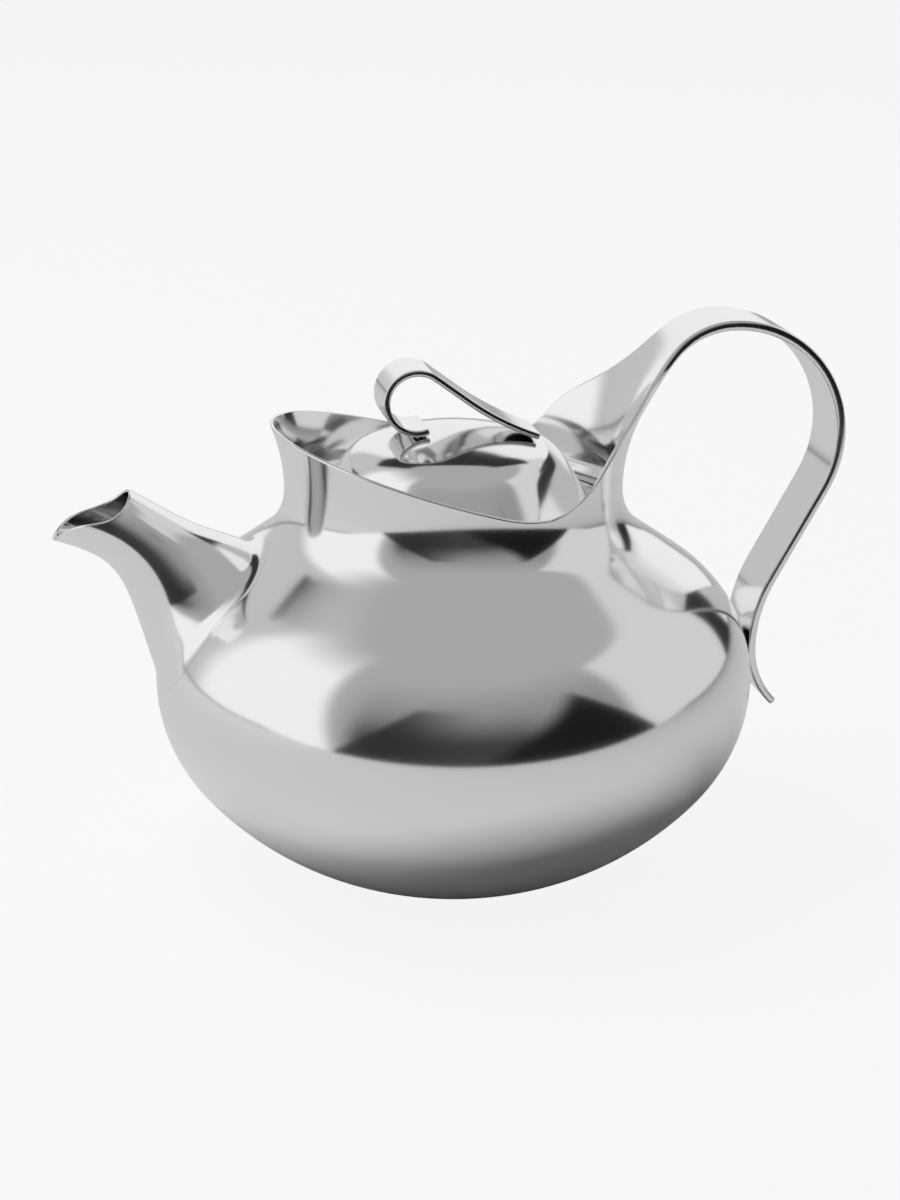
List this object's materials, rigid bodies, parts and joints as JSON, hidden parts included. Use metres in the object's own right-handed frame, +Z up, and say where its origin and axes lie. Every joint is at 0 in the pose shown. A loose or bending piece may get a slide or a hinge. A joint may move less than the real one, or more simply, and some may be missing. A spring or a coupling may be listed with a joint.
{
  "type": "teapot",
  "caption": "Round-bellied polished metal teapot with a sweeping rim, beaked spout, strap handle that grows out of the neck, and a lift-off domed lid with a ribbon loop knob.",
  "frame": {"origin": "centre of the round flat base, on the surface the pot stands on", "axes": "+Z up along the axis of the body, +X towards the handle, -X towards the spout, Y across the pot"},
  "size_m": [0.2241, 0.17, 0.1557],
  "materials": {
    "polished_silver": "mirror polish",
    "satin_metal": "satin",
    "fixings": "plain turned"
  },
  "bodies": {
    "pot": {"lower_bowl": "polished_silver", "upper_body": "polished_silver", "handle_strap": "polished_silver", "spout": "polished_silver", "spout_strainer": "satin_metal", "lid_seat_ring": "satin_metal"},
    "lid": {"lid_dome": "polished_silver", "lid_bezel": "satin_metal", "lid_knob": "polished_silver", "knob_studs": "fixings", "knob_washers": "fixings", "knob_nuts": "fixings"}
  },
  "joints": [
    {"name": "lid_lift", "type": "slide", "parent": "pot", "child": "lid", "axis": [0, 0, 1], "range_m": [0, 0.045]}
  ]
}
